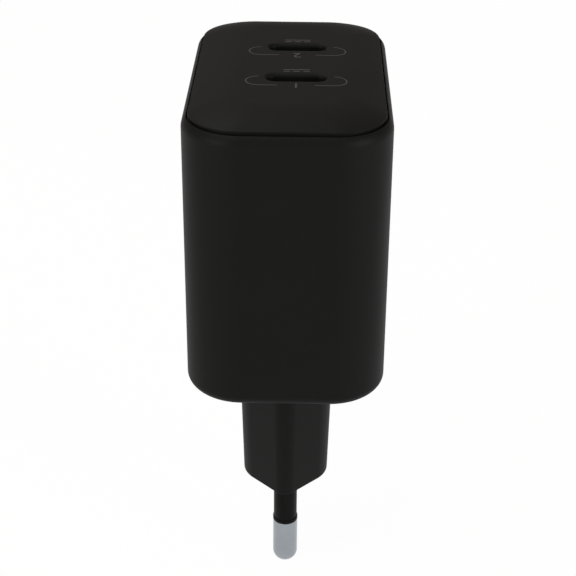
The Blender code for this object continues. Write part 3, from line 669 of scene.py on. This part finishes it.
# Sockets: folded stainless shells soldered upright on the output board. Each holds a
# black moulded insert, whose thin tongue carries gold-plated contacts on both faces.
USB_W = 0.00894
USB_D = 0.00326
USB_WALL = 0.0003
USB_MOUTH = 0.0062
USB_LIP = 0.00012
TONGUE_W = 0.00669
TONGUE_T = 0.0007
TONGUE_L = 0.00445
TONGUE_EDGE = 0.00018
INSERT_GAP = 0.00015
CONTACT_W = 0.00026
CONTACT_L = 0.0030
CONTACT_T = 0.00004
CONTACT_PITCH = 0.0005
CONTACT_COUNT = 12
STEEL = (0.46, 0.46, 0.47)
STEEL_DULL = (0.36, 0.36, 0.37)
STEEL_LINE_SIZE = 0.00005
INSERT_BLACK = (0.010, 0.010, 0.011)
INSERT_FLECK = (0.020, 0.020, 0.021)
CONTACT_GOLD = (0.80, 0.58, 0.26)
CONTACT_WORN = (0.70, 0.55, 0.32)
INSERT_FLECK_SIZE = 0.0001
CONTACT_RUB_SIZE = 0.00012

steel, place = finish("socket_steel", Metallic=1.0)
rolled = place.stretched((0.04, 1.0, 1.0)).noise(STEEL_LINE_SIZE)
feed(
    steel,
    Base_Color=rolled.blend(STEEL, STEEL_DULL),
    Roughness=0.26 + 0.12 * rolled,
    Normal=rolled.bump(PIN_LINE_DEPTH),
)
insert_plastic, place = finish("socket_insert", Specular_IOR_Level=0.35)
fleck = place.stretched((1.0, 1.0, 0.2)).noise(INSERT_FLECK_SIZE, 3.0)
feed(
    insert_plastic,
    Base_Color=fleck.step(0.5, 0.8).blend(INSERT_BLACK, INSERT_FLECK),
    Roughness=0.42 + 0.16 * fleck,
)
contact_gold, place = finish("contact_gold", Metallic=1.0)
rubbed = place.stretched((1.0, 1.0, 0.1)).noise(CONTACT_RUB_SIZE, 2.0)
feed(
    contact_gold,
    Base_Color=rubbed.blend(CONTACT_GOLD, CONTACT_WORN),
    Roughness=0.22 + 0.16 * rubbed,
)


def small_block(bm, size, middle, edge):
    """Adds a box with broken edges to a bmesh."""
    made = bmesh.ops.create_cube(bm, size=1.0)["verts"]
    bmesh.ops.scale(bm, verts=made, vec=size)
    bmesh.ops.translate(bm, verts=made, vec=middle)
    sides = list({e for v in made for e in v.link_edges})
    bmesh.ops.bevel(bm, geom=sides, offset=edge, segments=2, affect="EDGES", profile=0.5)


for number, y in enumerate(PORT_YS, 1):
    usb_low, usb_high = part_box(f"usb_c_shell_{number}")
    at = (PORT_X, y, 0)
    outer = [pill_plan(USB_W - 2 * g, USB_D - 2 * g) for g in (0.0, USB_LIP)]
    inner = [pill_plan(USB_W - 2 * g, USB_D - 2 * g) for g in (USB_WALL, USB_WALL - USB_LIP)]
    shell_sections = [
        (outer[0], usb_low.z),
        (outer[0], usb_high.z - USB_LIP),
        (outer[1], usb_high.z),
        (inner[1], usb_high.z),
        (inner[0], usb_high.z - USB_LIP),
        (inner[0], usb_low.z),
    ]
    shell = swept(f"socket_shell_{number}", shell_sections, closed=True, at=at)
    dress(shell, steel, "socket_steel", f"usb_c_shell_{number}")
    insert_top_z = usb_high.z - USB_MOUTH
    seat_grow = 2 * (USB_WALL + INSERT_GAP)
    seat_plan = pill_plan(USB_W - seat_grow, USB_D - seat_grow)
    insert = swept(
        f"socket_insert_{number}", [(seat_plan, usb_low.z), (seat_plan, insert_top_z)], at=at
    )
    bm = bmesh.new()
    tongue_mid_z = insert_top_z + TONGUE_L / 2 - TONGUE_EDGE
    tongue_size = (TONGUE_W, TONGUE_T, TONGUE_L + 2 * TONGUE_EDGE)
    small_block(bm, tongue_size, (PORT_X, y, tongue_mid_z), TONGUE_EDGE)
    cut(insert, piece_from("tongue", bm), "UNION")
    dress(insert, insert_plastic, "socket_insert", f"usb_c_insert_{number}")
    bm = bmesh.new()
    contact_z = insert_top_z + TONGUE_L - TONGUE_EDGE - CONTACT_L / 2 - TONGUE_T / 2
    for k in range(CONTACT_COUNT):
        x = PORT_X + (k - (CONTACT_COUNT - 1) / 2) * CONTACT_PITCH
        for face in (-1, 1):
            contact_y = y + face * TONGUE_T / 2
            contact_size = (CONTACT_W, 2 * CONTACT_T, CONTACT_L)
            small_block(bm, contact_size, (x, contact_y, contact_z), CONTACT_T / 2)
    dress(piece_from(f"socket_contacts_{number}", bm), contact_gold, "contact_brass")


# Boards: glass-epoxy laminate under green solder mask, sawn from a panel. The weave of
# the glass shows faintly through the mask.
MASK_GREEN = (0.012, 0.115, 0.050)
MASK_PALE_GREEN = (0.024, 0.165, 0.075)
MASK_PATCH_SIZE = 0.004
WEAVE_SIZE = 0.0006
WEAVE_DEPTH = 0.00001

laminate, place = finish("board_mask", Specular_IOR_Level=0.5)
weave = place.cells(WEAVE_SIZE)
mask_patch = place.noise(MASK_PATCH_SIZE)
feed(
    laminate,
    Base_Color=(weave * 0.7 + 0.3 * mask_patch).blend(MASK_GREEN, MASK_PALE_GREEN),
    Roughness=0.32 + 0.2 * weave,
    Normal=weave.bump(WEAVE_DEPTH),
)


def refinish(material, *nodes):
    """Gives inner pieces that keep their CAD shape a better material."""
    for node in nodes:
        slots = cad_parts[node].material_slots
        for slot in slots:
            slot.material = material


refinish(laminate, "input_board", "main_board", "output_board")


# Contact strips and heat spreader: stamped brass and bent copper sheet. The rolls and
# the press leave fine lines and dull patches of oxide on them.
BRASS = (0.72, 0.52, 0.22)
BRASS_DULL = (0.52, 0.36, 0.15)
COPPER = (0.70, 0.33, 0.17)
COPPER_DULL = (0.46, 0.20, 0.10)
OXIDE_SIZE = 0.003


def sheet_metal(name, bright, dull):
    """Rolled sheet with oxide patches."""
    material, place = finish(name, Metallic=1.0)
    oxide = place.noise(OXIDE_SIZE, 5.0)
    lines = place.stretched((1.0, 1.0, 0.05)).noise(STEEL_LINE_SIZE)
    feed(
        material,
        Base_Color=oxide.step(0.4, 0.7).blend(bright, dull),
        Roughness=0.24 + 0.22 * oxide + 0.08 * lines,
        Normal=lines.bump(PIN_LINE_DEPTH),
    )
    return material


strip_brass = sheet_metal("strip_brass", BRASS, BRASS_DULL)
refinish(strip_brass, "contact_strip_front", "contact_strip_rear")
refinish(sheet_metal("spreader_copper", COPPER, COPPER_DULL), "heat_spreader")


# Store and filter: capacitor cans in shrunk plastic film, bare aluminium cans, a moulded
# yellow box and discs dipped in blue resin. Film and resin are glossy and slightly uneven.
FILM_BLUE = (0.030, 0.038, 0.085)
FILM_PALE_BLUE = (0.050, 0.060, 0.120)
BOX_YELLOW = (0.72, 0.50, 0.05)
BOX_PALE_YELLOW = (0.80, 0.60, 0.12)
RESIN_BLUE = (0.05, 0.17, 0.42)
RESIN_PALE_BLUE = (0.09, 0.24, 0.52)
CAN_BRIGHT = (0.72, 0.73, 0.74)
CAN_DULL = (0.58, 0.59, 0.60)
COAT_WAVE_DEPTH = 0.00004


def coated(name, deep, pale, wave_size, roughness):
    """A glossy coat with shallow waves and a little change of tone."""
    material, place = finish(name, Specular_IOR_Level=0.5)
    wave = place.noise(wave_size, 2.0)
    feed(
        material,
        Base_Color=wave.blend(deep, pale),
        Roughness=roughness + 0.15 * wave,
        Normal=wave.bump(COAT_WAVE_DEPTH),
    )
    return material


film = coated("capacitor_film", FILM_BLUE, FILM_PALE_BLUE, wave_size=0.004, roughness=0.22)
refinish(film, "bulk_capacitor_1", "bulk_capacitor_2", "bulk_capacitor_3")
filter_box = coated("filter_box", BOX_YELLOW, BOX_PALE_YELLOW, wave_size=0.002, roughness=0.35)
refinish(filter_box, "x_capacitor")
resin = coated("dipped_resin", RESIN_BLUE, RESIN_PALE_BLUE, wave_size=0.0015, roughness=0.25)
refinish(resin, "y_capacitor", "thermistor")
can_aluminium = sheet_metal("can_aluminium", CAN_BRIGHT, CAN_DULL)
refinish(can_aluminium, "output_capacitor_1", "output_capacitor_2")


# Coils: sintered ferrite cores, enamelled copper wire on the choke, and a transformer
# winding under yellow polyester tape.
FERRITE = (0.045, 0.045, 0.048)
FERRITE_PALE = (0.075, 0.075, 0.080)
PORE_SIZE = 0.0002
PORE_DEPTH = 0.00002
ENAMEL = (0.62, 0.25, 0.09)
ENAMEL_DEEP = (0.45, 0.16, 0.05)
TAPE_YELLOW = (0.78, 0.58, 0.06)
TAPE_LAP = (0.62, 0.44, 0.04)
TAPE_STEP = 0.0016
TAPE_LAP_DEPTH = 0.00004
TAPE_DULL_SIZE = 0.002

ferrite, place = finish("sintered_ferrite", Specular_IOR_Level=0.3)
pores = place.cells(PORE_SIZE)
feed(
    ferrite,
    Base_Color=pores.blend(FERRITE, FERRITE_PALE),
    Roughness=0.5 + 0.25 * pores,
    Normal=pores.bump(PORE_DEPTH),
)
cores = ["choke_core", "transformer_core_lower", "transformer_core_upper"]
refinish(ferrite, *cores, "buck_inductor_1", "buck_inductor_2")
enamelled_wire = sheet_metal("enamelled_wire", ENAMEL, ENAMEL_DEEP)
refinish(enamelled_wire, "choke_winding_1", "choke_winding_2")

tape, place = finish("winding_tape", Specular_IOR_Level=0.5)
height = place.node("SeparateXYZ", {}, {0: place}, "Z")
lap = place.node("Math", {"operation": "PINGPONG"}, {0: height, 1: TAPE_STEP}) * (1 / TAPE_STEP)
feed(
    tape,
    Base_Color=lap.step(0.86, 0.94).blend(TAPE_YELLOW, TAPE_LAP),
    Roughness=0.28 + 0.12 * place.noise(TAPE_DULL_SIZE),
    Normal=lap.bump(TAPE_LAP_DEPTH),
)
refinish(tape, "transformer_winding")


# Chips and mouldings: black epoxy pressed round the silicon, the fuse's cap and the
# transformer's spool. The moulds leave a fine even grain.
EPOXY = (0.016, 0.016, 0.017)
EPOXY_PALE = (0.030, 0.030, 0.032)
EPOXY_GRAIN_SIZE = 0.00015
EPOXY_GRAIN_DEPTH = 0.00001

epoxy, place = finish("chip_epoxy", Specular_IOR_Level=0.35)
dust = place.noise(EPOXY_GRAIN_SIZE, 4.0)
feed(
    epoxy,
    Base_Color=dust.blend(EPOXY, EPOXY_PALE),
    Roughness=0.5 + 0.2 * dust,
    Normal=dust.bump(EPOXY_GRAIN_DEPTH),
)
chips = ["power_switch", "control_chip", "optocoupler", "sync_rectifier", "bridge_rectifier"]
refinish(epoxy, *chips, "protocol_chip_1", "protocol_chip_2", "fuse", "transformer_bobbin")


# Pad and film: a soft silicone pad that leads heat into the spreader, and a clear
# polyester film between the main board and the case.
PAD_GREY = (0.36, 0.42, 0.48)
PAD_PALE_GREY = (0.48, 0.53, 0.58)
FILM_WHITE = (0.78, 0.76, 0.69)
FILM_SHADE = (0.68, 0.66, 0.60)
FILLER_SIZE = 0.0003
FILLER_DEPTH = 0.00003

silicone, place = finish("thermal_silicone", Specular_IOR_Level=0.3)
filler = place.noise(FILLER_SIZE, 4.0)
feed(
    silicone,
    Base_Color=filler.blend(PAD_GREY, PAD_PALE_GREY),
    Roughness=0.7 + 0.2 * filler,
    Normal=filler.bump(FILLER_DEPTH),
)
refinish(silicone, "thermal_pad")
polyester = coated("polyester_film", FILM_SHADE, FILM_WHITE, wave_size=0.006, roughness=0.18)
refinish(polyester, "insulation_sheet")


# Floor: a wide sheet of matt white board, on which the charger stands on its pins. The
# camera sees it lit to white with a faint soft shadow, and so do metal and glass.
FLOOR_HALF = 3.0
FLOOR_WHITE = (0.86, 0.86, 0.86, 1)
FLOOR_GLOW = 0.97

floor_bm = bmesh.new()
bmesh.ops.create_grid(floor_bm, x_segments=8, y_segments=8, size=FLOOR_HALF)
floor = piece_from("floor", floor_bm, Matrix.Translation((0, 0, -PIN_LENGTH)))
board_white = bpy.data.materials.new("floor_board")
board_white.use_nodes = True
tree = board_white.node_tree
shade = Signal(tree)
matt = tree.nodes["Principled BSDF"]
matt.inputs["Base Color"].default_value = FLOOR_WHITE
matt.inputs["Roughness"].default_value = 0.9
matt.inputs["Specular IOR Level"].default_value = 0.0

rays = {}
for word in ("Camera", "Glossy", "Transmission"):
    rays[word] = shade.node("LightPath", {}, {}, f"Is {word} Ray")
glow = shade.node("Emission", {}, {"Color": (1, 1, 1, 1), "Strength": 1.0})
bounced = shade.maths("MAXIMUM", rays["Glossy"], rays["Transmission"])
seen = FLOOR_GLOW * shade.maths("MAXIMUM", rays["Camera"], bounced)
lit = Signal(tree, matt.outputs[0])
mixed = shade.node("MixShader", {}, {0: seen, 1: lit, 2: glow})
tree.links.new(mixed.socket, tree.nodes["Material Output"].inputs["Surface"])
floor.data.materials.append(board_white)


# Studio: a pale, slightly warm room with one wide soft lamp high on the left and two low
# strip lamps before the charger, left and right.
SURROUND = (0.372, 0.338, 0.306, 1)
LAMP_DISTANCE = 0.60
LAMP_AIM = (0.0, 0.0, 0.03)
# Name, angle round from the front, angle up, size and power of each lamp.
LAMPS = (
    ("high_left_lamp", math.radians(-92.0), math.radians(72.0), (0.95, 0.16), 2.6),
    ("left_strip_lamp", math.radians(-46.0), math.radians(13.0), (0.20, 0.26), 1.6),
    ("right_strip_lamp", math.radians(54.0), math.radians(13.0), (0.22, 0.26), 2.0),
)

world = bpy.data.worlds.new("studio")
bpy.context.scene.world = world
world.use_nodes = True
world.node_tree.nodes["Background"].inputs["Color"].default_value = SURROUND
for name, azimuth, height, size, power in LAMPS:
    light = bpy.data.lights.new(name, "AREA")
    light.shape = "RECTANGLE"
    light.size, light.size_y = size
    light.energy = power
    lamp = bpy.data.objects.new(name, light)
    bpy.context.scene.collection.objects.link(lamp)
    level = LAMP_DISTANCE * math.cos(height)
    away = Vector(
        (level * math.sin(azimuth), -level * math.cos(azimuth), LAMP_DISTANCE * math.sin(height))
    )
    turn = away.to_track_quat("Z", "Y").to_matrix().to_4x4()
    lamp.matrix_world = Matrix.Translation(Vector(LAMP_AIM) + away) @ turn


# Camera: stands in front and above, turned a hair to the left, as in the photograph.
CAMERA_AT = (0.003298, -0.202726, 0.136455)
CAMERA_PITCH = math.radians(28.295)
CAMERA_YAW = math.radians(0.929)
CAMERA_ROLL = math.radians(0.454)
CAMERA_LENS = 91.208

lens = bpy.data.cameras.new("camera")
lens.lens = CAMERA_LENS
lens.sensor_width = 36.0
lens.clip_start = 0.001
camera = bpy.data.objects.new("camera", lens)
bpy.context.scene.collection.objects.link(camera)
camera.matrix_world = (
    Matrix.Translation(CAMERA_AT)
    @ Matrix.Rotation(CAMERA_YAW, 4, "Z")
    @ Matrix.Rotation(math.pi / 2 - CAMERA_PITCH, 4, "X")
    @ Matrix.Rotation(CAMERA_ROLL, 4, "Z")
)
bpy.context.scene.camera = camera
bpy.context.scene.view_settings.view_transform = "Standard"
